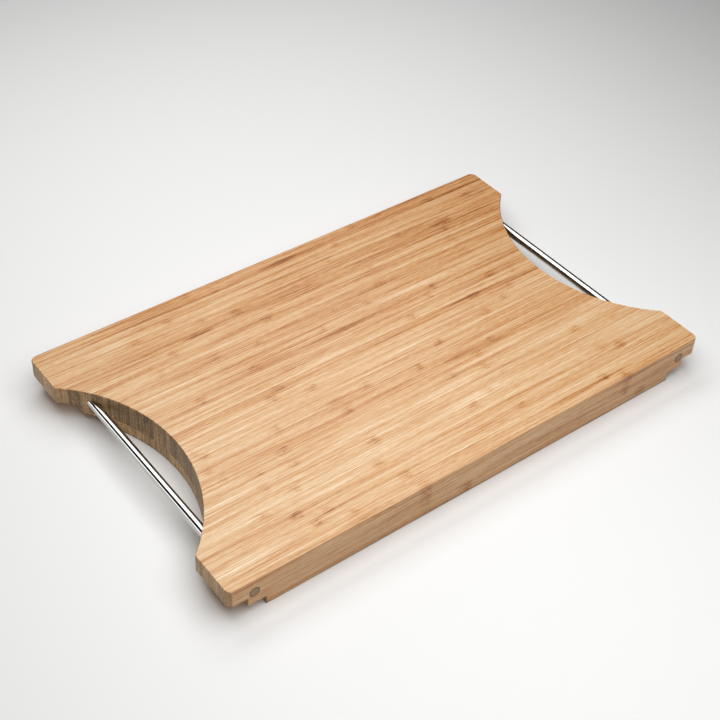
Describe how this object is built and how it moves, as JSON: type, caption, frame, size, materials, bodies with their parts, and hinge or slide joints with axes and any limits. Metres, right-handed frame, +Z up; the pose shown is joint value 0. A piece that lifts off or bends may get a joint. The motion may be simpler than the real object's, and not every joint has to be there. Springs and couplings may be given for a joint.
{
  "type": "chopping board",
  "caption": "Bamboo chopping board with bow-cut ends, steel carrying rods and a stepped underside that seats on a sink rim.",
  "frame": {"origin": "under the middle of the board, on the surface that it lies on", "axes": "+X along the board to the right end, +Y to the rear long edge, +Z up through the cutting face"},
  "size_m": [0.48, 0.3, 0.033],
  "materials": {
    "bamboo_stave": "sanded and oiled, satin",
    "bamboo_slat": "sanded and oiled, satin",
    "plug_end_grain": "sanded end grain",
    "polished_rod": "polished stainless steel"
  },
  "bodies": {
    "board": {"upper_stave_01": "bamboo_stave", "upper_stave_02": "bamboo_stave", "upper_stave_03": "bamboo_stave", "upper_stave_04": "bamboo_stave", "upper_stave_05": "bamboo_stave", "upper_stave_06": "bamboo_stave", "upper_stave_07": "bamboo_stave", "upper_stave_08": "bamboo_stave", "upper_stave_09": "bamboo_stave", "upper_stave_10": "bamboo_stave", "upper_stave_11": "bamboo_stave", "upper_stave_12": "bamboo_stave", "upper_stave_13": "bamboo_stave", "upper_stave_14": "bamboo_stave", "upper_stave_15": "bamboo_stave", "upper_stave_16": "bamboo_stave", "upper_stave_17": "bamboo_stave", "upper_stave_18": "bamboo_stave", "upper_stave_19": "bamboo_stave", "upper_stave_20": "bamboo_stave", "upper_stave_21": "bamboo_stave", "upper_stave_22": "bamboo_stave", "upper_stave_23": "bamboo_stave", "upper_stave_24": "bamboo_stave", "upper_stave_25": "bamboo_stave", "upper_stave_26": "bamboo_stave", "upper_stave_27": "bamboo_stave", "upper_stave_28": "bamboo_stave", "upper_stave_29": "bamboo_stave", "upper_stave_30": "bamboo_stave", "upper_stave_31": "bamboo_stave", "upper_stave_32": "bamboo_stave", "upper_stave_33": "bamboo_stave", "upper_stave_34": "bamboo_stave", "upper_stave_35": "bamboo_stave", "upper_stave_36": "bamboo_stave", "upper_stave_37": "bamboo_stave", "upper_stave_38": "bamboo_stave", "upper_stave_39": "bamboo_stave", "upper_stave_40": "bamboo_stave", "lower_slat_01": "bamboo_slat", "lower_slat_02": "bamboo_slat", "lower_slat_03": "bamboo_slat", "lower_slat_04": "bamboo_slat", "lower_slat_05": "bamboo_slat", "lower_slat_06": "bamboo_slat", "lower_slat_07": "bamboo_slat", "lower_slat_08": "bamboo_slat", "lower_slat_09": "bamboo_slat", "lower_slat_10": "bamboo_slat", "lower_slat_11": "bamboo_slat", "lower_slat_12": "bamboo_slat", "lower_slat_13": "bamboo_slat", "plug_front_left": "plug_end_grain", "plug_front_right": "plug_end_grain", "plug_rear_left": "plug_end_grain", "plug_rear_right": "plug_end_grain"},
    "rod_left": {"handle_rod_left": "polished_rod"},
    "rod_right": {"handle_rod_right": "polished_rod"}
  },
  "joints": [
    {"name": "rod_left_spin", "type": "hinge", "parent": "board", "child": "rod_left", "pos_m": [-0.218, 0, 0.02063], "axis": [0, 1, 0], "continuous": true},
    {"name": "rod_right_spin", "type": "hinge", "parent": "board", "child": "rod_right", "pos_m": [0.218, 0, 0.02063], "axis": [0, 1, 0], "continuous": true}
  ]
}
